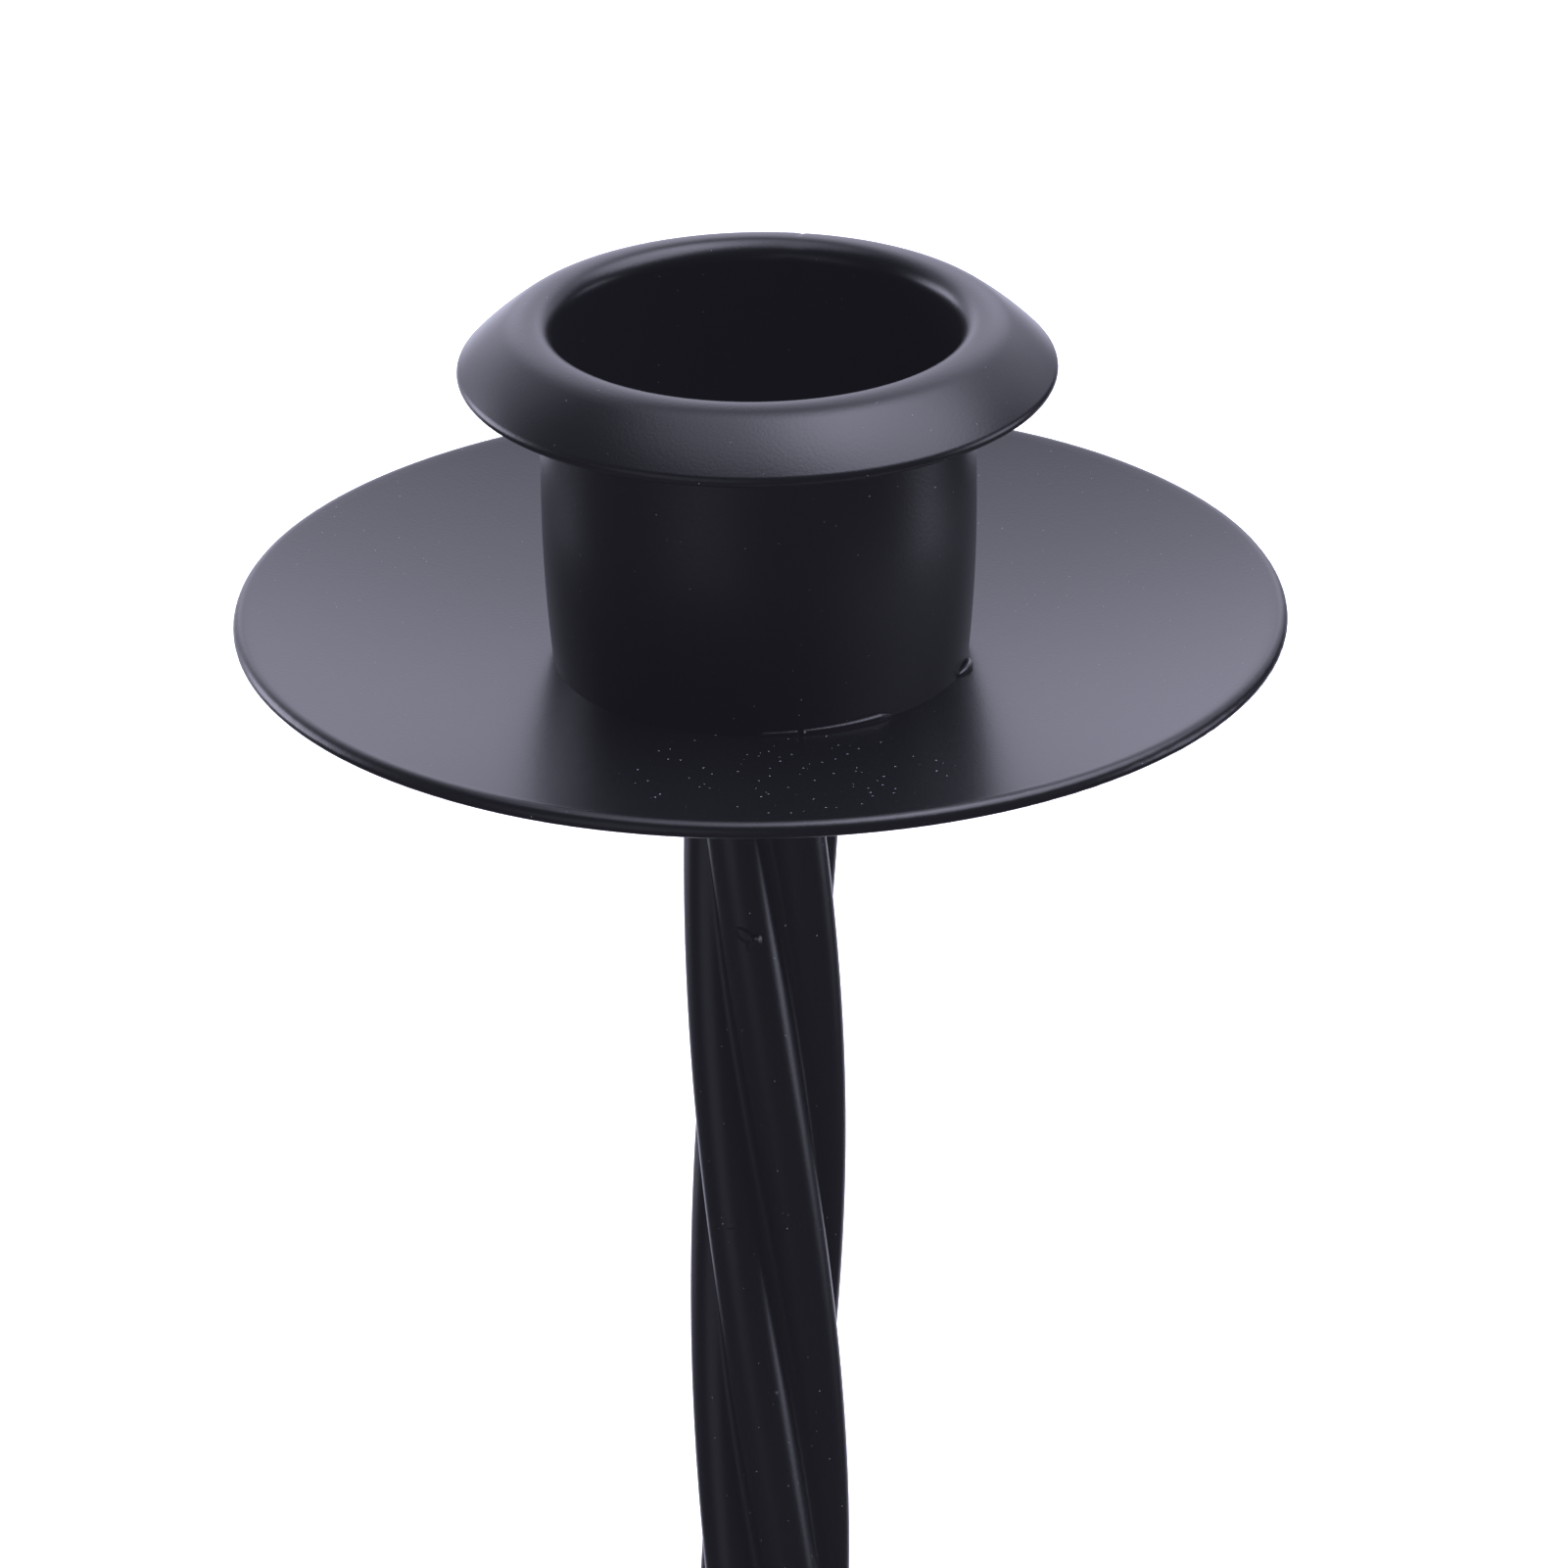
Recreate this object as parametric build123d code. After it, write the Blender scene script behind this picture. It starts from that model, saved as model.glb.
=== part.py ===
"""Spiral candle holder: a flared candle tube and a dished drip plate on a twisted stem.

All sizes are in millimetres. +Z is up and the origin is on the table, under the stem's axis.
Everything but the floor pads is mild steel, welded together and coated black.
"""
import os
from math import asin, ceil, cos, degrees, pi, radians, sin, sqrt

from build123d import *

# Overall
total_height = 250.0          # table to the crest of the tube's lip

# Floor pads
pad_d = 10.0
pad_t = 1.0
pad_count = 4
pad_inset = 6.0               # base edge in to the pad's edge
pad_turn = 45.0               # first pad's angle, in degrees from +X

# Base disc
base_d = 100.0
base_t = 3.0
base_top_bevel = 0.8
base_bottom_bevel = 0.3

# Twisted stem
rod_d = 3.38
rod_count = 5
rod_ease = 0.02               # opens the ring so that neighbours just touch along the lay
twist_pitch = 140.0           # height of one full left-handed turn
twist_start = -0.8            # first rod's angle at the foot, in degrees from +X

# Welds at the two ends of the stem
foot_weld_leg = 2.6
head_weld_leg = 2.2

# Drip plate
plate_d = 60.0
plate_t = 1.0
dish_depth = 3.6              # rim down to the middle of the dish
plate_edge_bevel = 0.3

# Candle tube
tube_height = 21.1            # middle of the dish up to the crest of the lip
tube_bore_d = 22.8            # takes a 22 mm taper candle
tube_sheet = 0.8
foot_draw_in = 0.35           # how much narrower the wall is at its foot
foot_draw_height = 9.7        # height over which the wall draws in

# Rolled lip and flange of the tube
lip_roll = 1.8                # radius of the roll's upper face
flange_d = 34.4
flange_slope = 37.0           # slope of the flange where it leaves the roll, in degrees
flange_crown = 20.0           # gentle convex radius of the flange's upper face

# Tack welds that hold the tube's foot to the drip plate
tack_leg = 0.9
tack_ease = 0.03              # bead's rise off the dish, so that their facets never cross
front_tack_middle = -71.0     # degrees from +X
front_tack_span = 38.0
side_tack_middle = -12.0
side_tack_span = 14.0

# Straight runs that curves are drawn with, so that the triangles stay few
rod_run_count = 10            # in one turn of the twist
dish_run_count = 3            # middle to rim
lip_run_count = 3             # bore to crest
shoulder_run_count = 1        # crest to flange
flange_run_count = 2

# Places up the axis
base_z = pad_t
stem_z = base_z + base_t
dish_z = total_height - tube_height
dish_r = ((plate_d / 2)**2 + dish_depth**2) / (2 * dish_depth)
dish_centre_z = dish_z + dish_r
roll_z = total_height - lip_roll

# Places across the stem and the tube
rod_r = rod_d / 2
rod_ring_r = rod_r / sin(pi / rod_count) / cos(pi / rod_run_count) + rod_ease
stem_r = rod_ring_r + rod_r
tube_wall_r = tube_bore_d / 2 + tube_sheet
tube_foot_r = tube_wall_r - foot_draw_in


def dish_height(radius, depth=0):
    """Height at this distance from the axis of the dish's upper face, or of one below it."""
    return dish_centre_z - sqrt((dish_r + depth)**2 - radius**2)


def disc(diameter, thickness, z):
    """Flat disc on the axis with its lower face at this height."""
    standing = (Align.CENTER, Align.CENTER, Align.MIN)
    return Pos(0, 0, z) * Cylinder(diameter / 2, thickness, align=standing)


def turned(outline, sweep_angle=360):
    """Solid turned from a closed outline in the XZ plane, on one side of the axis."""
    return revolve(make_face(Plane.XZ * outline), Axis.Z, sweep_angle)


def runs(curve, count):
    """Points that divide a curve into this many straight runs."""
    return [curve @ (k / count) for k in range(count + 1)]


def make_floor_pads():
    """Round stick-on pads that keep the steel off the table."""
    ring_r = base_d / 2 - pad_inset - pad_d / 2
    places = PolarLocations(ring_r, pad_count, start_angle=pad_turn)
    return [place * disc(pad_d, pad_t, 0) for place in places]


def make_base_plate():
    """Cut disc with a bevel round its upper edge and a finer one below."""
    plate = disc(base_d, base_t, base_z)
    for rim, bevel in ((-1, base_top_bevel), (0, base_bottom_bevel)):
        rims = plate.edges().filter_by(GeomType.CIRCLE).sort_by(Axis.Z)
        plate = chamfer(rims[rim], bevel)
    return plate


def plate_face(depth):
    """The dish in the XZ plane, middle to rim: its upper face, or one at a depth below it."""
    steepest = asin(plate_d / 2 / dish_r)
    face_r = dish_r + depth
    middle = (0, dish_height(0, depth))
    rim = (face_r * sin(steepest), dish_centre_z - face_r * cos(steepest))
    return runs(RadiusArc(middle, rim, -face_r), dish_run_count)


def over_plate_underside():
    """All that lies above the drip plate's underside: what it is cut from ends on the plate."""
    underside = plate_face(plate_t)
    return turned(Polyline(*underside, (plate_d / 2, total_height), (0, total_height), close=True))


def rod_place(height):
    """Where the first rod's axis is at this height, on a left-handed helix."""
    angle = radians(twist_start) - 2 * pi * (height - stem_z) / twist_pitch
    return (rod_ring_r * cos(angle), rod_ring_r * sin(angle), height)


def make_stem_rods():
    """Round rods side by side in a ring, twisted together, cut to the base and to the plate."""
    step = twist_pitch / rod_run_count
    steps = ceil((dish_z - stem_z) / step)
    path = Polyline(*[rod_place(stem_z + k * step) for k in range(-1, steps + 1)])
    section = Plane(path @ 0, z_dir=path % 0) * Circle(rod_r)
    rod = sweep(section, path, transition=Transition.RIGHT)
    rod -= disc(2 * (stem_r + rod_d), step + rod_d, stem_z - step - rod_d)
    rod -= over_plate_underside()
    return [Rot(0, 0, 360 * k / rod_count) * rod for k in range(rod_count)]


def weld_ring(z, leg, rise):
    """Fillet weld round the stem from this height to this rise, before the rods are taken out."""
    toe = (stem_r + leg, z)
    top = (stem_r, z + rise)
    root = (rod_ring_r, z + rise)
    heel = (rod_ring_r, z)
    return turned(Polyline(toe, top, root, heel, close=True))


def make_foot_weld(rods):
    return weld_ring(stem_z, foot_weld_leg, foot_weld_leg) - rods


def make_head_weld(rods):
    """Weld under the drip plate, run up past the curved underside and cut to it."""
    toe_r = stem_r + head_weld_leg
    toe_z = dish_height(toe_r, plate_t)
    drop = toe_z - (dish_z - plate_t) + head_weld_leg
    return weld_ring(toe_z, head_weld_leg, -drop) - over_plate_underside() - rods


def make_drip_plate():
    """Round sheet pressed to a shallow spherical dish, with its edge bevelled."""
    outline = Polyline(*plate_face(0), *reversed(plate_face(plate_t)), close=True)
    corners = outline.vertices().sort_by(Axis.X)[-2:]
    return turned(outline.chamfer_2d(plate_edge_bevel, plate_edge_bevel, corners))


def tube_side(inward):
    """One face of the tube's sheet, flange edge to foot: the outer face, or one further in."""
    wall_r = tube_wall_r - inward
    crown_x = tube_wall_r + lip_roll - tube_sheet
    crown_x -= (flange_crown - lip_roll) * sin(radians(flange_slope))
    edge_slope = degrees(asin((flange_d / 2 - crown_x) / flange_crown))

    roll_r = lip_roll - tube_sheet + inward
    lip = JernArc((wall_r, roll_z), (0, 1), roll_r, -90)
    shoulder = JernArc(lip @ 1, (1, 0), roll_r, -flange_slope)
    flange_r = flange_crown - tube_sheet + inward
    flange = JernArc(shoulder @ 1, shoulder % 1, flange_r, flange_slope - edge_slope)
    top = runs(lip, lip_run_count) + runs(shoulder, shoulder_run_count)[1:]
    top += runs(flange, flange_run_count)[1:]

    draw_top = (wall_r, dish_height(tube_foot_r) + foot_draw_height)
    foot = (wall_r - foot_draw_in, dish_height(tube_foot_r) - tube_sheet)
    return Polyline(*reversed(top), draw_top) + TangentArc(draw_top, foot, tangent=(0, -1))


def make_candle_tube(plate):
    """One rolled sheet, its foot cut to the dish: drawn-in wall, rolled lip, sloping flange."""
    outer = tube_side(0)
    inner = tube_side(tube_sheet)
    ends = Line(outer @ 0, inner @ 0) + Line(outer @ 1, inner @ 1)
    return turned(outer + inner + ends) - plate


def make_tack(middle, span, tube, plate):
    """Short fillet weld in the corner between the tube's foot and the dish, cut to both."""
    root_x = tube_foot_r - tube_sheet / 2
    root_z = dish_height(tube_foot_r) - plate_t / 2
    reach = tube_sheet / 2 + plate_t / 2 + tack_leg
    corner = Polyline((root_x, root_z), (root_x + reach, root_z), (root_x, root_z + reach), close=True)
    bead = Rot(0, 0, middle - span / 2) * turned(corner, span)
    return bead - tube - Pos(0, 0, tack_ease) * plate


def build_parts():
    parts = {}
    for k, pad in enumerate(make_floor_pads(), 1):
        parts[f"floor_pad_{k}"] = pad
    parts["base_plate"] = make_base_plate()
    rods = make_stem_rods()
    for k, rod in enumerate(rods, 1):
        parts[f"stem_rod_{k}"] = rod
    parts["stem_foot_weld"] = make_foot_weld(rods)
    parts["stem_head_weld"] = make_head_weld(rods)
    plate = make_drip_plate()
    tube = make_candle_tube(plate)
    parts["drip_plate"] = plate
    parts["candle_tube"] = tube
    parts["tube_tack_front"] = make_tack(front_tack_middle, front_tack_span, tube, plate)
    parts["tube_tack_side"] = make_tack(side_tack_middle, side_tack_span, tube, plate)
    return parts


os.makedirs("parts", exist_ok=True)
for name, solid in build_parts().items():
    export_step(solid, f"parts/{name}.step")
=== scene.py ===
"""Looks of the spiral candle holder: one black-coated steel candlestick on a white sweep.

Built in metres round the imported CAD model. Sizes are written in millimetres times MM.
"""
from math import acos, asin, atan2, cos, exp, pi, radians, sin, sqrt, tan

import bpy
from mathutils import Matrix, Vector, noise


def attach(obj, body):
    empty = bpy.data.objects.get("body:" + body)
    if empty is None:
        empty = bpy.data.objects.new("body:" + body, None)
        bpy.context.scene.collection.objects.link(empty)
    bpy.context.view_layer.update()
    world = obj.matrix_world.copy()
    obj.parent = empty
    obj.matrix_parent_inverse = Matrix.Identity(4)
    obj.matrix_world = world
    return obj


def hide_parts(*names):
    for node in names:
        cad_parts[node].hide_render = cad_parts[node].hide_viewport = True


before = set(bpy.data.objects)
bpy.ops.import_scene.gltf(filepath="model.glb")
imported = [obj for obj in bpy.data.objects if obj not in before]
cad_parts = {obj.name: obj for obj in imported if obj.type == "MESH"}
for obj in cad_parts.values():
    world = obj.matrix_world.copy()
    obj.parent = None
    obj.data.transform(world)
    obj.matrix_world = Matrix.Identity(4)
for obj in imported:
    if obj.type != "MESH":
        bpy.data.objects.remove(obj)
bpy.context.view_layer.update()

MM = 0.001


# Stem rods
# Five round mild-steel rods twisted together left-handed into one tight bundle. The black
# powder coat has run together in the grooves, so each rod meets its neighbours in a soft
# hollow instead of a sharp line.

rod_count = 5
rod_radius = 1.69 * MM
rod_ring_radius = 2.97 * MM
rod_arc_steps = 14                # from a rod's outermost line to the hollow beside it
twist_pitch = 140 * MM
first_rod_turn = radians(-0.85)
stem_foot = 4 * MM                # on the base
stem_head = 227.95 * MM           # just inside the drip plate
ring_spacing = 0.7 * MM           # up a rod, between its rings of vertices
groove_fill_radius = 0.5 * MM     # of the coat's hollow between two rods
groove_arc_steps = 8

coat_colour = "#0c0c0e"
coat_roughness = 0.3
peel_size = 2.6 * MM
peel_height = 0.004 * MM
grain_size = 0.2 * MM
grain_height = 0.006 * MM
dust_colour = "#a8adb9"
dust_roughness = 0.9
dust_spacing = 0.62 * MM
dust_radius = 0.07 * MM           # of the largest specks in a patch on the plate's front
dust_radius_elsewhere = 0.028 * MM
dust_middle = (1.5, -20, 226)     # of the patch, in mm, a little under the plate
dust_reach = 9.8 * MM             # from that middle to where the large specks end
dust_fade = 1.2 * MM
blister_top = 0.45                # share of a blister's reach that is flat on top
coat_blisters = (                 # centre, half size, lean and height, in mm and degrees
    ((-1.1, -4.4, 213.5), (0.95, 0.8, 0.42), 35, 0.16),
    ((-0.6, -4.4, 213.0), (0.5, 0.8, 0.7), 20, 0.14),
    ((2.7, -3.6, 204.3), (0.5, 0.8, 0.4), 0, 0.2),
    ((-1.9, -4.1, 194.4), (0.7, 0.6, 0.18), -12, 0.03),
    ((-0.5, -4.4, 194.2), (0.5, 0.6, 0.15), 15, 0.03),
    ((0.2, -4.5, 183.4), (0.4, 0.6, 0.3), 0, 0.03))


def add_node(tree, kind, settings={}, inputs={}):
    """Adds a node to the tree with its settings, and sets or links its inputs."""
    node = tree.nodes.new(kind)
    for name, value in settings.items():
        setattr(node, name, value)
    for name, value in inputs.items():
        if isinstance(value, bpy.types.NodeSocket):
            tree.links.new(value, node.inputs[name])
        else:
            node.inputs[name].default_value = value
    return node


def linear(hex_colour):
    """An sRGB hex colour as the linear colour that a shader takes."""
    parts = [int(hex_colour[k:k + 2], 16) / 255 for k in (1, 3, 5)]
    return [p / 12.92 if p <= 0.04045 else ((p + 0.055) / 1.055) ** 2.4 for p in parts] + [1]


def make_powder_coat():
    """Black polyester powder coat, sprayed and baked on steel. Satin sheen with a fine sandy
    grain and a slow orange peel, a few blisters on the stem, and pale specks of dust."""
    coat = bpy.data.materials.new("satin_powder_coat_black")
    coat.use_nodes = True
    tree = coat.node_tree
    tree.nodes.clear()
    place = add_node(tree, "ShaderNodeTexCoord").outputs["Object"]

    # Blisters: flat-topped bumps with a soft rim that catches the light
    normal = None
    for centre, half_size, lean, height in coat_blisters:
        local = add_node(tree, "ShaderNodeMapping", {"vector_type": "TEXTURE"}, {
            "Vector": place, "Location": [c * MM for c in centre],
            "Rotation": (0, radians(lean), 0), "Scale": [h * MM for h in half_size]})
        away = add_node(tree, "ShaderNodeVectorMath", {"operation": "LENGTH"}, {
            0: local.outputs["Vector"]})
        dome = add_node(tree, "ShaderNodeMapRange", {"interpolation_type": "SMOOTHSTEP"}, {
            "Value": away.outputs["Value"], "From Min": 1, "From Max": blister_top})
        blister = add_node(tree, "ShaderNodeBump", inputs={
            "Strength": 1.0, "Distance": height * MM, "Height": dome.outputs["Result"]})
        if normal:
            tree.links.new(normal, blister.inputs["Normal"])
        normal = blister.outputs["Normal"]

    # Peel and grain; the grain is drawn a little coarser than the real powder's, to show
    peel = add_node(tree, "ShaderNodeTexNoise", inputs={
        "Vector": place, "Scale": 1 / peel_size, "Detail": 1, "Roughness": 0.4})
    peel_bump = add_node(tree, "ShaderNodeBump", inputs={
        "Strength": 1.0, "Distance": peel_height, "Height": peel.outputs["Fac"],
        "Normal": normal})
    grain = add_node(tree, "ShaderNodeTexNoise", inputs={
        "Vector": place, "Scale": 1 / grain_size, "Detail": 1, "Roughness": 0.6})
    grain_bump = add_node(tree, "ShaderNodeBump", inputs={
        "Strength": 1.0, "Distance": grain_height, "Height": grain.outputs["Fac"],
        "Normal": peel_bump.outputs["Normal"]})

    # Dust: one speck at most in each cell, larger in a patch on the front of the plate
    cells = add_node(tree, "ShaderNodeTexVoronoi", {"feature": "F1"}, {
        "Vector": place, "Scale": 1 / dust_spacing})
    chance = add_node(tree, "ShaderNodeSeparateColor", inputs={"Color": cells.outputs["Color"]})
    away = add_node(tree, "ShaderNodeVectorMath", {"operation": "DISTANCE"}, {
        0: place, 1: [c * MM for c in dust_middle]})
    settled = add_node(tree, "ShaderNodeMapRange", inputs={
        "Value": away.outputs["Value"], "From Min": dust_reach, "From Max": dust_reach + dust_fade,
        "To Min": dust_radius / dust_spacing, "To Max": dust_radius_elsewhere / dust_spacing})
    size = add_node(tree, "ShaderNodeMath", {"operation": "SQRT"}, {0: chance.outputs["Red"]})
    speck_radius = add_node(tree, "ShaderNodeMath", {"operation": "MULTIPLY"}, {
        0: size.outputs[0], 1: settled.outputs["Result"]})
    speck = add_node(tree, "ShaderNodeMath", {"operation": "LESS_THAN"}, {
        0: cells.outputs["Distance"], 1: speck_radius.outputs[0]})
    colour = add_node(tree, "ShaderNodeMix", {"data_type": "RGBA"}, {
        0: speck.outputs[0], 6: linear(coat_colour), 7: linear(dust_colour)})
    rough = add_node(tree, "ShaderNodeMapRange", inputs={
        "Value": speck.outputs[0], "To Min": coat_roughness, "To Max": dust_roughness})
    shader = add_node(tree, "ShaderNodeBsdfPrincipled", inputs={
        "Base Color": colour.outputs[2], "Roughness": rough.outputs["Result"], "IOR": 1.5,
        "Normal": grain_bump.outputs["Normal"]})
    add_node(tree, "ShaderNodeOutputMaterial", inputs={"Surface": shader.outputs["BSDF"]})
    return coat


powder_coat = make_powder_coat()


def arc(centre, radius, start, end, steps):
    """Points on an arc from one angle to another, both included."""
    turns = [start + (end - start) * k / steps for k in range(steps + 1)]
    return [centre + radius * Vector((cos(turn), sin(turn))) for turn in turns]


def rod_section():
    """Outline of the first rod across the stem: its round, half of each coated hollow
    beside it, and the parting line in the middle of the hollow."""
    half = pi / rod_count
    valley = Vector((cos(half), sin(half)))
    foot = rod_ring_radius * cos(half)
    reach = rod_ring_radius * sin(half)
    hollow = foot + sqrt((rod_radius + groove_fill_radius) ** 2 - reach ** 2)
    hollow_centre = valley * hollow
    rod_centre = Vector((rod_ring_radius, 0))
    toward = hollow_centre - rod_centre
    shoulder = atan2(toward.y, toward.x)
    upper = arc(rod_centre, rod_radius, 0, shoulder, rod_arc_steps)
    upper += arc(hollow_centre, groove_fill_radius, shoulder + pi, half + pi, groove_arc_steps)[1:]
    upper += arc(rod_centre, rod_radius, half + pi / 2, pi, groove_arc_steps)
    lower = [Vector((p.x, -p.y)) for p in reversed(upper[1:-1])]
    return upper + lower


def make_twist_tree():
    """Geometry Nodes: sweeps a section up a line whose tilt turns once every pitch."""
    tree = bpy.data.node_groups.new("twisted_rod", "GeometryNodeTree")
    sizes = ("Foot", "Head", "Pitch", "Turn", "Ring Spacing")
    tree.interface.new_socket("Section", in_out="INPUT", socket_type="NodeSocketGeometry")
    for name in sizes:
        tree.interface.new_socket(name, in_out="INPUT", socket_type="NodeSocketFloat")
    tree.interface.new_socket("Coat", in_out="INPUT", socket_type="NodeSocketMaterial")
    tree.interface.new_socket("Rod", in_out="OUTPUT", socket_type="NodeSocketGeometry")
    given = add_node(tree, "NodeGroupInput").outputs
    foot = add_node(tree, "ShaderNodeCombineXYZ", inputs={"Z": given["Foot"]})
    head = add_node(tree, "ShaderNodeCombineXYZ", inputs={"Z": given["Head"]})
    axis = add_node(tree, "GeometryNodeCurvePrimitiveLine", inputs={
        "Start": foot.outputs[0], "End": head.outputs[0]})
    rings = add_node(tree, "GeometryNodeResampleCurve", {"mode": "LENGTH"}, {
        "Curve": axis.outputs["Curve"], "Length": given["Ring Spacing"]})
    place = add_node(tree, "GeometryNodeInputPosition")
    height = add_node(tree, "ShaderNodeSeparateXYZ", inputs={0: place.outputs[0]})
    above = add_node(tree, "ShaderNodeMath", {"operation": "SUBTRACT"}, {
        0: given["Foot"], 1: height.outputs["Z"]})
    turns = add_node(tree, "ShaderNodeMath", {"operation": "DIVIDE"}, {
        0: above.outputs[0], 1: given["Pitch"]})
    tilt = add_node(tree, "ShaderNodeMath", {"operation": "MULTIPLY_ADD"}, {
        0: turns.outputs[0], 1: 2 * pi, 2: given["Turn"]})
    tilted = add_node(tree, "GeometryNodeSetCurveTilt", inputs={
        "Curve": rings.outputs["Curve"], "Tilt": tilt.outputs[0]})
    swept = add_node(tree, "GeometryNodeCurveToMesh", inputs={
        "Curve": tilted.outputs["Curve"], "Profile Curve": given["Section"],
        "Fill Caps": True})
    real = add_node(tree, "GeometryNodeRealizeInstances", inputs={
        "Geometry": swept.outputs["Mesh"]})
    coated = add_node(tree, "GeometryNodeSetMaterial", inputs={
        "Geometry": real.outputs[0], "Material": given["Coat"]})
    add_node(tree, "NodeGroupOutput", inputs={"Rod": coated.outputs[0]})
    return tree


def grown(name, start, tree, values):
    """Runs a Geometry Nodes tree on a start object and keeps the result as a plain mesh."""
    modifier = start.modifiers.new("grow", "NODES")
    modifier.node_group = tree
    for socket in tree.interface.items_tree:
        if socket.in_out == "INPUT" and socket.name in values:
            modifier[socket.identifier] = values[socket.name]
    bpy.context.view_layer.update()
    seen = start.evaluated_get(bpy.context.evaluated_depsgraph_get())
    mesh = bpy.data.meshes.new_from_object(seen)
    start.modifiers.remove(modifier)
    bpy.data.objects.remove(start)
    piece = bpy.data.objects.new(name, mesh)
    bpy.context.scene.collection.objects.link(piece)
    return piece


def section_curve(name, points):
    """A closed flat curve through the points, as the start of a sweep."""
    data = bpy.data.curves.new(name, "CURVE")
    data.dimensions = "3D"
    line = data.splines.new("POLY")
    line.points.add(len(points) - 1)
    for knot, place in zip(line.points, points):
        knot.co = (place.x, place.y, 0, 1)
    line.use_cyclic_u = True
    curve = bpy.data.objects.new(name, data)
    bpy.context.scene.collection.objects.link(curve)
    return curve


def smooth(piece, crease=35):
    """Smooth shading, with an edge kept where faces turn by more than the crease's degrees."""
    piece.data.shade_smooth()
    piece.data.set_sharp_from_angle(angle=radians(crease))


twist_tree = make_twist_tree()
for k in range(rod_count):
    rod = grown(f"coated_rod_{k + 1}", section_curve("rod_section", rod_section()), twist_tree, {
        "Foot": stem_foot, "Head": stem_head, "Pitch": twist_pitch,
        "Turn": first_rod_turn + 2 * pi * k / rod_count,
        "Ring Spacing": ring_spacing, "Coat": powder_coat})
    smooth(rod)
    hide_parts(f"stem_rod_{k + 1}")
    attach(rod, "root")


# Base disc
# Mild-steel disc cut from 3 mm plate, its edges eased before coating so that the powder
# holds. The stem is welded to its middle.

base_radius = 49.985 * MM
base_low = 1 * MM
base_high = stem_foot
base_top_ease = 0.8 * MM
base_low_ease = 0.35 * MM
base_turn_steps = 256


def eased(corners, steps=6):
    """A line through (x, z, radius) corners, each rounded to its radius."""
    line = []
    for k, (x, z, radius) in enumerate(corners):
        here = Vector((x, z))
        if not radius:
            line.append(here)
            continue
        before = (Vector(corners[k - 1][:2]) - here).normalized()
        after = (Vector(corners[(k + 1) % len(corners)][:2]) - here).normalized()
        opening = before.angle(after)
        inset = radius / tan(opening / 2)
        centre = here + (before + after).normalized() * radius / sin(opening / 2)
        first = here + before * inset - centre
        last = here + after * inset - centre
        sweep = first.angle_signed(last)
        for j in range(steps + 1):
            line.append(centre + Matrix.Rotation(-sweep * j / steps, 2) @ first)
    return line


def turned(name, line, steps, closed=False, wobble=None):
    """Turns a line of (x, z) points round the stem's axis, its ends joined if it is closed.
    A point on the axis becomes one vertex. Wobble may move each point: (angle, x, z) to (x, z)."""
    verts = []
    rings = []
    for point in line:
        if point[0] < 1e-7:
            rings.append([len(verts)] * steps)
            verts.append((0, 0, point[1]))
            continue
        rings.append(range(len(verts), len(verts) + steps))
        for k in range(steps):
            angle = 2 * pi * k / steps
            x, z = wobble(angle, point[0], point[1]) if wobble else point
            verts.append((x * cos(angle), x * sin(angle), z))
    faces = []
    for k in range(len(rings) if closed else len(rings) - 1):
        here, there = rings[k], rings[(k + 1) % len(rings)]
        for j in range(steps):
            i = (j + 1) % steps
            face = [here[j], here[i], there[i], there[j]]
            faces.append([v for n, v in enumerate(face) if v != face[n - 1]])
    mesh = bpy.data.meshes.new(name)
    mesh.from_pydata(verts, [], faces)
    mesh.validate()
    piece = bpy.data.objects.new(name, mesh)
    bpy.context.scene.collection.objects.link(piece)
    return piece


base = turned("coated_base_disc", eased([
    (0, base_low, 0), (base_radius, base_low, base_low_ease),
    (base_radius, base_high, base_top_ease), (0, base_high, 0)]), base_turn_steps)
base.data.materials.append(powder_coat)
smooth(base)
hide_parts("base_plate")
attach(base, "root")


# Drip plate
# Round blank of 1 mm mild-steel sheet, pressed to a shallow dish and coated black. Its
# sheared edge is a little uneven, and the coat has rounded it off above and below.

plate_radius = 30 * MM
plate_sheet = 1 * MM
plate_edge_ease = 0.55 * MM
plate_low_ease = 0.42 * MM
plate_ring_spacing = 1 * MM       # from ring to ring of vertices, axis to edge
plate_turn_steps = 768
dish_bottom = 228.9 * MM
dish_radius = 126.8 * MM
edge_zone = 3 * MM                # in from the edge, where its unevenness fades out
edge_wave = 0.02 * MM             # slow waves all round, in and out
edge_lift = 0.03 * MM             # and up and down
edge_rough = 0.01 * MM            # fine roughness all round
edge_rough_height = 0.5 * MM      # of one patch of that roughness
burr_rough = 0.015 * MM           # more of it in a stretch where the shear has torn
burr_middle = radians(-38)        # of that stretch, from +X
burr_reach = radians(34)


def dish_height(x, drop=0):
    """Height of the dish's face at this distance from the axis, drop below the upper one."""
    return dish_bottom + dish_radius - sqrt((dish_radius + drop) ** 2 - x * x)


def plate_line():
    """Outline of the dished sheet: out along its underside, round the edge and back on top."""
    places = [k * plate_ring_spacing for k in range(round(plate_radius / plate_ring_spacing))]
    lower = [(x, dish_height(x, plate_sheet)) for x in places]
    upper = [(x, dish_height(x)) for x in reversed(places)]
    low_x = plate_radius * (1 + plate_sheet / dish_radius)
    corners = [(*lower[-1], 0), (low_x, dish_height(low_x, plate_sheet), plate_low_ease),
               (plate_radius, dish_height(plate_radius), plate_edge_ease), (*upper[0], 0)]
    return lower[:-1] + eased(corners) + upper[1:]


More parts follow.
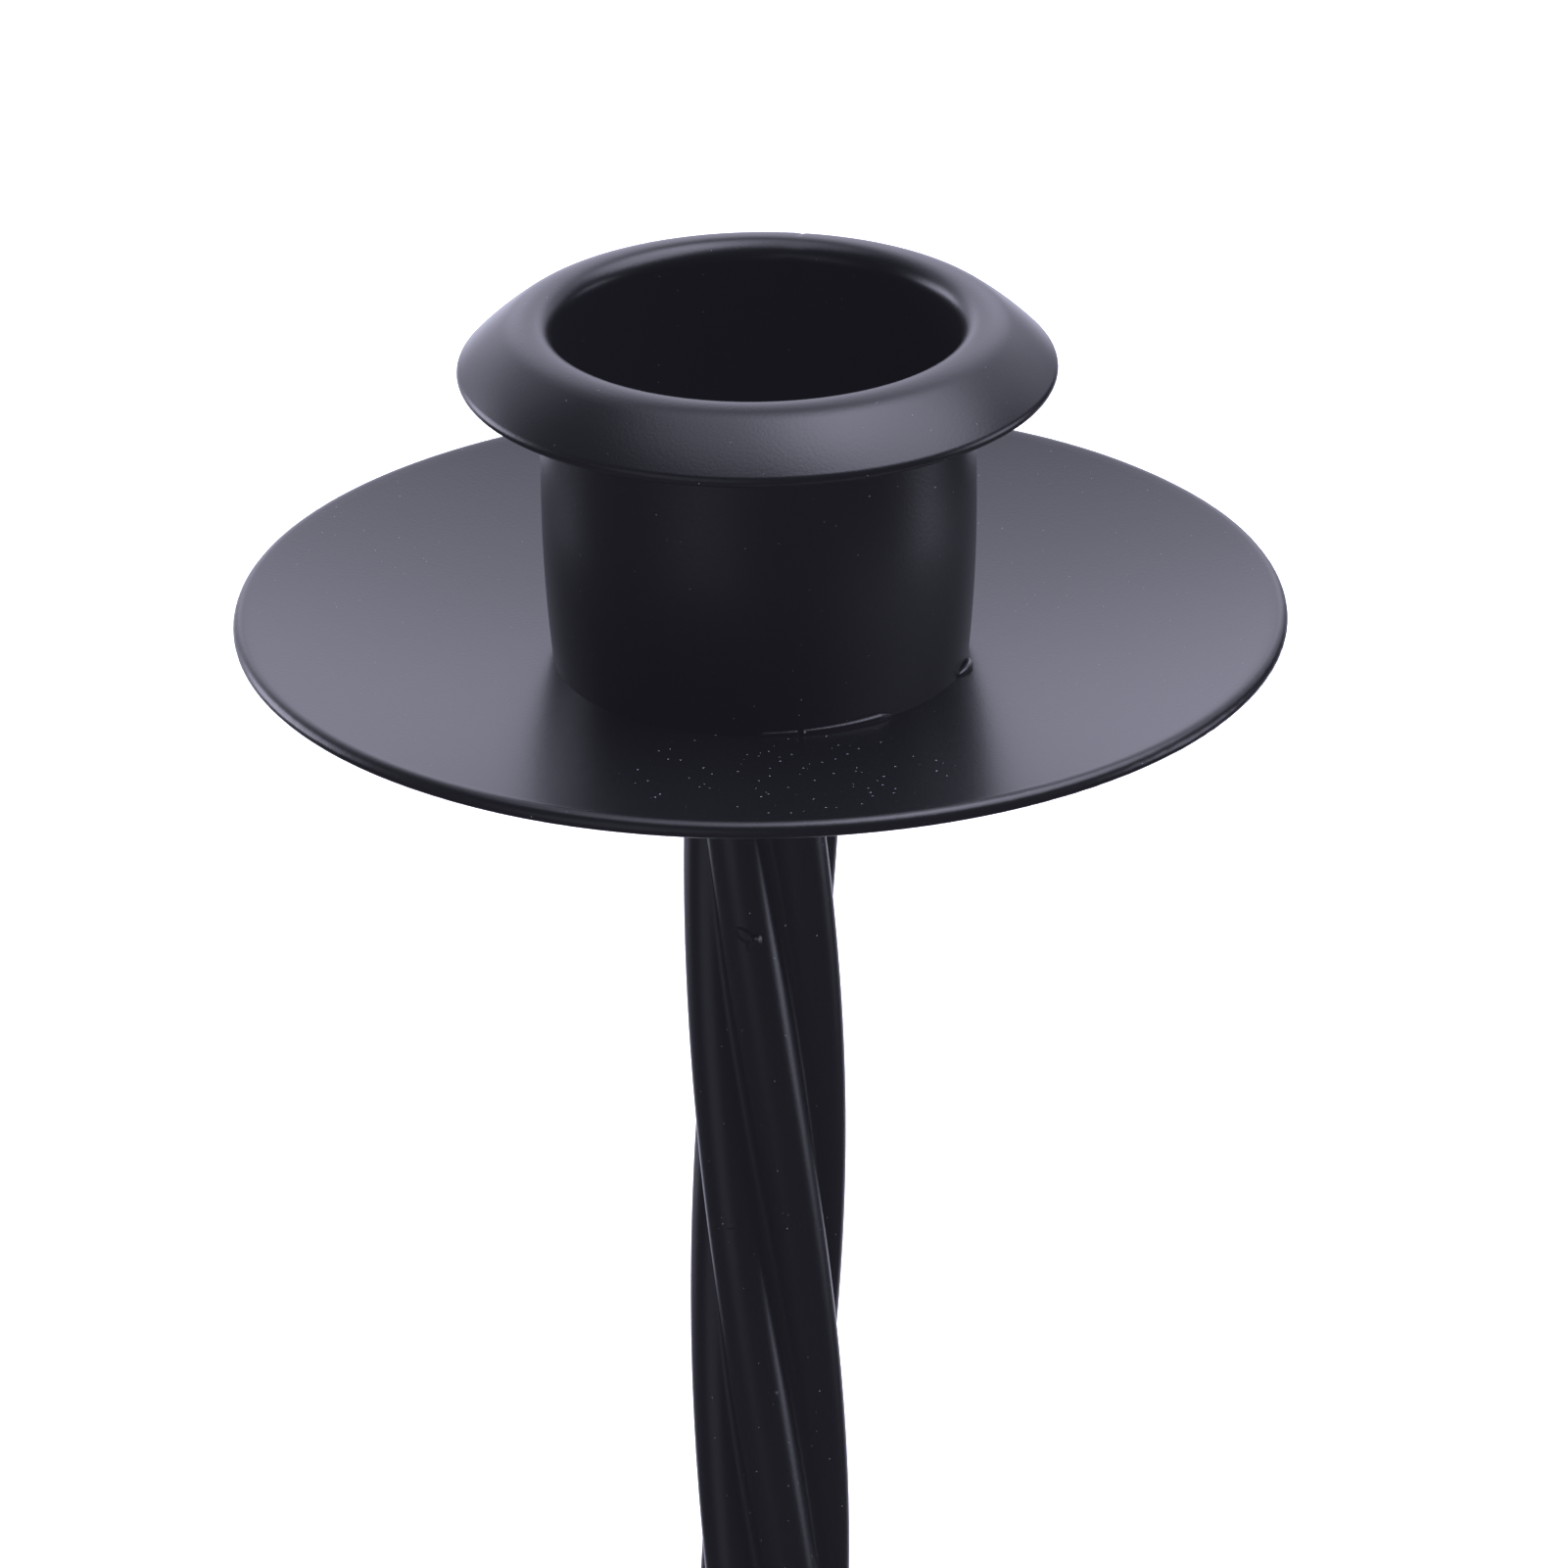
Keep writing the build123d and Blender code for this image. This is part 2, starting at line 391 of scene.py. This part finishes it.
def plate_wobble(angle, x, z):
    """The sheared edge: slow waves and fine roughness all round, more of it on the right."""
    near_edge = max(0, 1 - (plate_radius - x) / edge_zone) ** 2
    torn = max(0, cos(angle - burr_middle) - cos(burr_reach)) / (1 - cos(burr_reach))
    slow = noise.noise(Vector((3 * cos(angle), 3 * sin(angle), 0.3)))
    quick = noise.noise(Vector((60 * cos(angle), 60 * sin(angle), z / edge_rough_height)))
    ragged = edge_wave * slow + (edge_rough + burr_rough * torn) * quick
    return x + near_edge * ragged, z + near_edge * edge_lift * slow


plate = turned("coated_drip_plate", plate_line(), plate_turn_steps, wobble=plate_wobble)
plate.data.materials.append(powder_coat)
smooth(plate)
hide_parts("drip_plate")
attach(plate, "root")


# Candle tube
# One turn of 0.8 mm mild-steel sheet with a ground seam, drawn in at its foot and rolled over
# at the top into a sloping flange. It stands on the plate, open below, and is coated black.

tube_sheet = 0.8 * MM
tube_wall_radius = 12.4 * MM
tube_foot_radius = 11.85 * MM
tube_foot = 229.0 * MM            # sunk into the plate's sheet
tube_arc_steps = 8
tube_turn_steps = 720
draw_height = 9.7 * MM            # above the dish, where the wall starts to draw in
draw_top = dish_height(tube_foot_radius) + draw_height
lip_top = 250 * MM
lip_flat = 0.006 * MM             # taken off the crest, so that it stays within the CAD box
lip_roll = 1.2 * MM               # radius of the upper face from bore to crest
lip_shoulder = 2.8 * MM           # and from crest to flange
roll_x = tube_wall_radius + lip_roll - tube_sheet
flange_radius = 17.2 * MM
flange_slope = radians(36)
flange_crown = 17.5 * MM          # radius of its gently rounded upper face
flange_edge_ease = 0.42 * MM
flange_low_ease = 0.36 * MM
seam_angle = radians(79)
seam_reach = 3.2 * MM             # to each side, all that the seam disturbs
seam_nick_height = 249.9 * MM
seam_nick_depth = 0.05 * MM
seam_nick_width = 0.16 * MM
seam_nick_reach = 1.0 * MM
seam_swell = 0.05 * MM
seam_swell_height = 249.4 * MM
seam_swell_width = 0.8 * MM
seam_swell_reach = 0.4 * MM


def tube_line(inward):
    """One face of the sheet from foot to flange edge, inward from the outer one."""
    drawn = tube_wall_radius - tube_foot_radius
    bend = ((draw_top - tube_foot) ** 2 + drawn ** 2) / (2 * drawn)
    bend_turn = asin((draw_top - tube_foot) / bend)
    bend_centre = Vector((tube_wall_radius - inward - bend, draw_top))
    line = arc(bend_centre, bend, -bend_turn, 0, tube_arc_steps)

    roll = lip_roll - tube_sheet + inward
    line += arc(Vector((roll_x, lip_top - lip_roll)), roll, pi, pi / 2, tube_arc_steps)
    if inward:
        line[-1].y -= lip_flat

    slope = pi / 2 - flange_slope
    shoulder = lip_shoulder - tube_sheet + inward
    shoulder_centre = Vector((roll_x, lip_top - lip_shoulder))
    line += arc(shoulder_centre, shoulder, pi / 2, slope, tube_arc_steps)[1:]

    crown = flange_crown - tube_sheet + inward
    back = (flange_crown - lip_shoulder) * Vector((cos(slope), sin(slope)))
    crown_centre = shoulder_centre - back
    edge_slope = acos((flange_radius - crown_centre.x) / flange_crown)
    return line + arc(crown_centre, crown, slope, edge_slope, tube_arc_steps)[1:]


def tube_wobble(angle, x, z):
    """A nick across the lip at the back, where the sheet's seam was ground flush, with the
    sheet a little swollen inside it."""
    off = (angle - seam_angle) * tube_wall_radius
    if abs(off) > seam_reach:
        return x, z
    if x > roll_x:
        lip = max(0, 1 - abs(z - seam_nick_height) / seam_nick_reach)
        return x, z - seam_nick_depth * lip * exp(-(off / seam_nick_width) ** 2)
    across = exp(-((off - seam_nick_width) / seam_swell_width) ** 2)
    along = exp(-((z - seam_swell_height) / seam_swell_reach) ** 2)
    return x - seam_swell * across * along, z


outer = tube_line(0)
inner = tube_line(tube_sheet)
edge = eased([(*outer[-2], 0), (*outer[-1], flange_low_ease),
              (*inner[-1], flange_edge_ease), (*inner[-2], 0)])
tube = turned("coated_candle_tube", outer[:-2] + edge + inner[-3::-1], tube_turn_steps,
              closed=True, wobble=tube_wobble)
tube.data.materials.append(powder_coat)
smooth(tube)
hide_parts("candle_tube")
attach(tube, "root")


# Tack welds
# Two short beads of weld under the black coat hold the tube's foot to the plate: a thin one
# that swells towards its right end along the front, and a stub at the right side.

tack_rings_per_degree = 3
tack_round_steps = 12
front_span = (-91, -51.5)         # degrees from +X, left end first
front_radii = (0.17 * MM, 0.32 * MM)      # at the left and the right end
front_standoff = 0.06 * MM
front_point = 0.04                # shares of its length: the pointed left end,
front_round = 0.12                # the round right end,
front_break = (0.29, 0.02)        # and where it nearly parts, middle and reach
front_break_depth = 0.8           # as a share of its radius
side_span = (-20, -8)
side_radii = (0.03 * MM, 0.25 * MM)       # at the ends and in the middle
side_standoffs = (0.05 * MM, 0.33 * MM)


def tack_bead(name, span, radius_at, standoff_at):
    """A bead along the tube's foot between two angles in degrees. Its radius and its
    distance from the tube are given at each share of the way."""
    first, last = span
    steps = round((last - first) * tack_rings_per_degree)
    around = tack_round_steps
    verts = []
    faces = []
    for k in range(steps + 1):
        share = k / steps
        angle = radians(first + (last - first) * share)
        radius = radius_at(share)
        middle_x = tube_foot_radius + standoff_at(share)
        middle = Vector((middle_x, dish_height(middle_x) + radius / 2))
        for x, z in arc(middle, radius, 0, 2 * pi, around)[:-1]:
            verts.append((x * cos(angle), x * sin(angle), z))
    for k in range(steps):
        here = k * around
        there = here + around
        for j in range(around):
            i = (j + 1) % around
            faces.append((here + j, there + j, there + i, here + i))
    faces.append(tuple(range(around)))
    faces.append(tuple(reversed(range(steps * around, (steps + 1) * around))))
    mesh = bpy.data.meshes.new(name)
    mesh.from_pydata(verts, [], faces)
    bead = bpy.data.objects.new(name, mesh)
    bpy.context.scene.collection.objects.link(bead)
    return bead


def between(values, share):
    """The value at this share of the way from the first to the second."""
    return values[0] + (values[1] - values[0]) * share


def front_radius_at(share):
    """Thin at the left, nearly parted a quarter of the way, thickest near the right end.
    The small sums keep the very ends open."""
    ends = min(1, (share + 0.01) / front_point, sqrt((1.001 - share) / front_round))
    parted = max(0, 1 - abs(share - front_break[0]) / front_break[1])
    return between(front_radii, share) * ends * (1 - front_break_depth * parted)


def front_standoff_at(share):
    """The bead keeps close to the tube all along."""
    return front_standoff


def side_radius_at(share):
    """A stub with round ends."""
    return between(side_radii, sqrt(1 - (2 * share - 1) ** 2))


def side_standoff_at(share):
    """The stub bows out from the tube."""
    return between(side_standoffs, sin(pi * share))


front_tack = tack_bead("coated_front_tack", front_span, front_radius_at, front_standoff_at)
side_tack = tack_bead("coated_side_tack", side_span, side_radius_at, side_standoff_at)
for tack, node in ((front_tack, "tube_tack_front"), (side_tack, "tube_tack_side")):
    tack.data.materials.append(powder_coat)
    smooth(tack)
    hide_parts(node)
    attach(tack, "root")


# Stem welds
# A rippled fillet round each end of the stem, run in between the rods, under the same coat:
# the lower one on the base, the upper one up against the underside of the drip plate.

weld_foot_leg = 2.5 * MM
weld_head_leg = 2.1 * MM
weld_thin_edge = 0.55 * MM        # how far the fillet's edge on the rods stands out
weld_inner_side = 0.1 * MM        # marks the side that lies hidden in the rods
weld_seat = 0.3 * MM              # how deep that side lies in them
weld_bulge = 0.28                 # of the fillet's face, as a share of its height
weld_arc_steps = 12
weld_turn_steps = 320
weld_crease = 50                  # in degrees
weld_head_radius = 6 * MM         # from the axis, where the upper fillet meets the plate
ripple_count = 26
ripple_depth = 0.1 * MM
lump_depth = 0.22 * MM


def bundle_radius(angle, z):
    """Distance from the axis to the coated bundle's surface at this angle and height."""
    turn = angle - first_rod_turn + 2 * pi * (z - stem_foot) / twist_pitch
    lobe = 2 * pi / rod_count
    off = abs((turn + lobe / 2) % lobe - lobe / 2)
    across = rod_ring_radius * sin(off)
    return rod_ring_radius * cos(off) + sqrt(rod_radius ** 2 - min(across, rod_radius) ** 2)


def weld_wobble(angle, x, z):
    """Seats a point of the fillet on the rods and moves it out or in by the weld's ripples
    and lumps. The inner side stays hidden in the rods."""
    seated = bundle_radius(angle, z) - weld_seat
    if x <= weld_inner_side:
        return seated, z
    drift = 5 * noise.noise(Vector((cos(angle), sin(angle), 2)))
    ripple = 0.5 + 0.5 * sin(ripple_count * angle + drift)
    lump = noise.noise(Vector((2.5 * cos(angle), 2.5 * sin(angle), z / (3 * MM))))
    return seated + x + ripple_depth * ripple + lump_depth * lump, z


def weld_line(low, high, low_reach, high_reach):
    """Fillet outline from its lower to its upper edge, as (reach beyond the rods, z)."""
    line = [(weld_inner_side, low)]
    for k in range(weld_arc_steps + 1):
        share = k / weld_arc_steps
        bulge = weld_bulge * sin(pi * share) * (high - low)
        line.append((between((low_reach, high_reach), share) + bulge, between((low, high), share)))
    line.append((weld_inner_side, high))
    return line


def weld(name, node, line):
    """One coated weld round the stem, from its outline."""
    bead = turned(name, line, weld_turn_steps, closed=True, wobble=weld_wobble)
    bead.data.materials.append(powder_coat)
    smooth(bead, weld_crease)
    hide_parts(node)
    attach(bead, "root")


foot_line = weld_line(stem_foot, stem_foot + weld_foot_leg, weld_foot_leg, weld_thin_edge)
weld_head_top = dish_height(weld_head_radius, plate_sheet)
head_line = weld_line(weld_head_top - weld_head_leg, weld_head_top, weld_thin_edge, weld_head_leg)
weld("coated_foot_weld", "stem_foot_weld", foot_line)
weld("coated_head_weld", "stem_head_weld", head_line)


# Floor pads
# Four discs of closed-cell foam, stuck under the base to keep the steel off the table.

pad_count = 4
pad_radius = 4.98 * MM
pad_height = base_low
pad_low_ease = 0.12 * MM
pad_high_ease = 0.06 * MM
pad_turn_steps = 64
pad_ring_radius = 39 * MM
first_pad_turn = radians(45)

foam_colour = "#232325"
foam_cell = 0.35 * MM             # coarser than the real cells, to show
foam_pit = 0.05 * MM


def make_foam():
    """Black closed-cell EVA foam, matt and finely pitted."""
    foam = bpy.data.materials.new("closed_cell_foam_black")
    foam.use_nodes = True
    tree = foam.node_tree
    tree.nodes.clear()
    place = add_node(tree, "ShaderNodeTexCoord").outputs["Object"]
    cells = add_node(tree, "ShaderNodeTexVoronoi", {"feature": "F1"}, {
        "Vector": place, "Scale": 1 / foam_cell})
    pits = add_node(tree, "ShaderNodeBump", inputs={
        "Strength": 1.0, "Distance": foam_pit, "Height": cells.outputs["Distance"]})
    shader = add_node(tree, "ShaderNodeBsdfPrincipled", inputs={
        "Base Color": linear(foam_colour), "Roughness": 0.85, "IOR": 1.45,
        "Normal": pits.outputs["Normal"]})
    add_node(tree, "ShaderNodeOutputMaterial", inputs={"Surface": shader.outputs["BSDF"]})
    return foam


foam = make_foam()
for k in range(pad_count):
    pad = turned(f"foam_pad_{k + 1}", eased([
        (0, 0, 0), (pad_radius, 0, pad_low_ease),
        (pad_radius, pad_height, pad_high_ease), (0, pad_height, 0)]), pad_turn_steps)
    turn = first_pad_turn + 2 * pi * k / pad_count
    place = pad_ring_radius * Vector((cos(turn), sin(turn), 0))
    pad.data.transform(Matrix.Translation(place))
    pad.data.materials.append(foam)
    smooth(pad)
    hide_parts(f"floor_pad_{k + 1}")
    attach(pad, "root")


# Floor
# A white paper sweep, far larger than the view.

floor_reach = 4
floor_corners = [(x * floor_reach, y * floor_reach, 0) for x, y in ((-1, -1), (1, -1), (1, 1), (-1, 1))]

floor_mesh = bpy.data.meshes.new("floor")
floor_mesh.from_pydata(floor_corners, [], [(0, 1, 2, 3)])
floor = bpy.data.objects.new("floor", floor_mesh)
bpy.context.scene.collection.objects.link(floor)
paper = bpy.data.materials.new("white_paper")
paper.use_nodes = True
shader = paper.node_tree.nodes["Principled BSDF"]
shader.inputs["Base Color"].default_value = linear("#f4f4f4")
shader.inputs["Roughness"].default_value = 1
shader.inputs["Specular IOR Level"].default_value = 0
shader.inputs["Emission Color"].default_value = (1, 1, 1, 1)
shader.inputs["Emission Strength"].default_value = 1.0
floor_mesh.materials.append(paper)
floor.visible_glossy = False


# Studio light
# Soft white light: a large softbox high on the right, a bright screen and the paper sweep
# behind, a strip at each side, and weak bounce. The camera's side is dim.

light_tint = (0.92, 0.915, 1.165, 1)      # the faint violet that the black coat shows
stray_light = (0.0075, 0.0075, 0.0108)    # haze of the lens, which lifts the blacks

world = bpy.data.worlds.new("studio")
world.use_nodes = True
bpy.context.scene.world = world
tree = world.node_tree
tree.nodes.clear()
direction = add_node(tree, "ShaderNodeTexCoord").outputs["Generated"]


def soft_source(azimuth, elevation, spread, strength):
    """One soft source in the world, seen from the object at this azimuth (0 is the camera's
    side, 90 its right) and elevation, fading out at the spread, all in degrees."""
    a, e = radians(azimuth), radians(elevation)
    toward = (sin(a) * cos(e), -cos(a) * cos(e), sin(e))
    facing = add_node(tree, "ShaderNodeVectorMath", {"operation": "DOT_PRODUCT"}, {
        0: direction, 1: toward})
    glow = add_node(tree, "ShaderNodeMapRange", {"interpolation_type": "SMOOTHERSTEP"}, {
        "Value": facing.outputs["Value"], "From Min": cos(radians(spread)), "From Max": 1,
        "To Min": 0, "To Max": strength})
    return glow.outputs["Result"]


softbox = soft_source(90, 60, 36, 4.06)
ceiling = soft_source(0, 90, 36, 1.84)
screen = soft_source(180, 30, 36, 0.9)
screen_right = soft_source(150, 30, 36, 0.9)
screen_left = soft_source(210, 30, 36, 0.71)
screen_foot = soft_source(180, 0, 36, 0.41)
screen_foot_left = soft_source(210, 0, 36, 0.51)
sweep_behind = soft_source(180, -30, 40, 1.3)
strip_right = soft_source(98, -5, 22, 2.4)
strip_left = soft_source(242, 2, 25, 4.5)
bounce_left = soft_source(330, 0, 36, 0.35)
total = softbox
for glow in (ceiling, screen, screen_right, screen_left, screen_foot, screen_foot_left,
             sweep_behind, strip_right, strip_left, bounce_left):
    total = add_node(tree, "ShaderNodeMath", {"operation": "ADD"}, {0: total, 1: glow}).outputs[0]
studio = add_node(tree, "ShaderNodeBackground", inputs={"Color": light_tint, "Strength": total})
seen = add_node(tree, "ShaderNodeBackground", inputs={"Color": (1, 1, 1, 1), "Strength": 1.0})
ray = add_node(tree, "ShaderNodeLightPath")
mixed = add_node(tree, "ShaderNodeMixShader", inputs={
    0: ray.outputs["Is Camera Ray"], 1: studio.outputs[0], 2: seen.outputs[0]})
add_node(tree, "ShaderNodeOutputWorld", inputs={"Surface": mixed.outputs[0]})

view = bpy.context.scene.view_settings
view.view_transform = "Standard"
view.use_curve_mapping = True
view.curve_mapping.black_level = [-haze for haze in stray_light]
view.curve_mapping.update()


# Camera
# Long lens from a little above, as in the photograph: 9500 pixels of focal length on a
# frame of 1601, turned by a share of the photographed candlestick's own lean.

pitch = radians(24.62)
roll = radians(0.65)
focal_pixels = 9500
frame_pixels = 1601
camera_place = Vector((1.24, -488.1, 444.7)) * MM
right = Vector((cos(roll), -sin(roll) * sin(pitch), -sin(roll) * cos(pitch)))
down = Vector((-sin(roll), -cos(roll) * sin(pitch), -cos(roll) * cos(pitch)))
ahead = Vector((0, cos(pitch), -sin(pitch)))
lens = bpy.data.cameras.new("camera")
lens.sensor_width = 36
lens.lens = focal_pixels / frame_pixels * lens.sensor_width
lens.clip_start = 0.01
lens.clip_end = 100
camera = bpy.data.objects.new("camera", lens)
camera.matrix_world = Matrix((right, -down, -ahead)).transposed().to_4x4()
camera.location = camera_place
bpy.context.scene.collection.objects.link(camera)
bpy.context.scene.camera = camera
